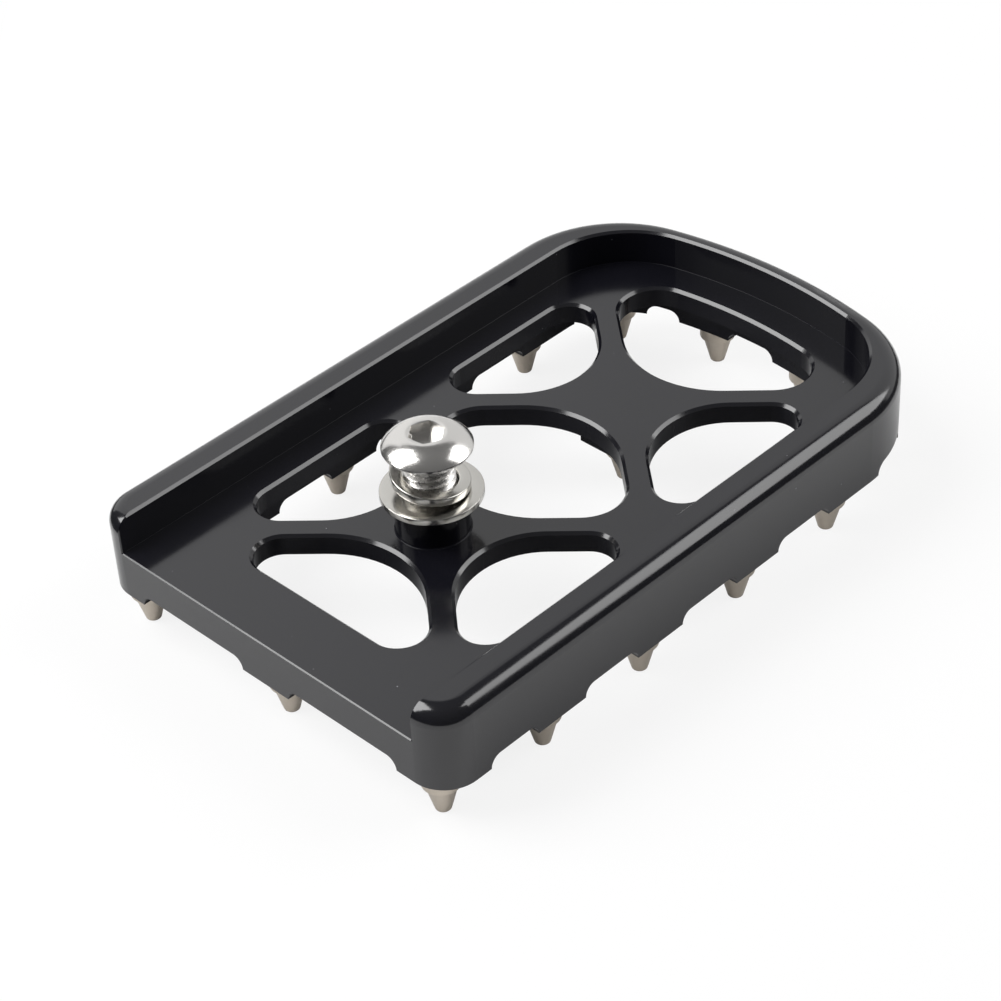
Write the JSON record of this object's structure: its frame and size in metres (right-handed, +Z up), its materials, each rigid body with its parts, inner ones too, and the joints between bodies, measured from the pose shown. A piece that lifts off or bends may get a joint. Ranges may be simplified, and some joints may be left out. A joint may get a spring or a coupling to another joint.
{
  "type": "brake pedal pad",
  "caption": "Milled black brake pedal pad: tray with a rim on three sides, truss floor with windows, clamping bolt on a boss, and pointed steel studs underneath.",
  "frame": {"origin": "middle of the plan on the plane of the stud tips, on which the pad rests", "axes": "+X across the pad, +Y from its open end to its bowed far end, +Z up from the stud tips to the tray's open side. On the pedal it is turned over: the studs face the rider's boot and -Z is up."},
  "size_m": [0.074, 0.117, 0.0331],
  "materials": {
    "anodised_frame": "black anodised, satin",
    "bright_fastener": "bright polished",
    "stud_steel": "fine turned, matt"
  },
  "bodies": {
    "root": {"pad_frame": "anodised_frame", "mounting_bolt": "bright_fastener", "spring_washer": "bright_fastener", "flat_washer": "bright_fastener", "stud_open_left": "stud_steel", "stud_open_middle": "stud_steel", "stud_open_right": "stud_steel", "stud_left_1": "stud_steel", "stud_left_2": "stud_steel", "stud_left_3": "stud_steel", "stud_left_4": "stud_steel", "stud_right_1": "stud_steel", "stud_right_2": "stud_steel", "stud_right_3": "stud_steel", "stud_right_4": "stud_steel", "stud_corner_left": "stud_steel", "stud_corner_right": "stud_steel", "stud_far_left": "stud_steel", "stud_far_right": "stud_steel", "stud_centre": "stud_steel"}
  },
  "joints": []
}
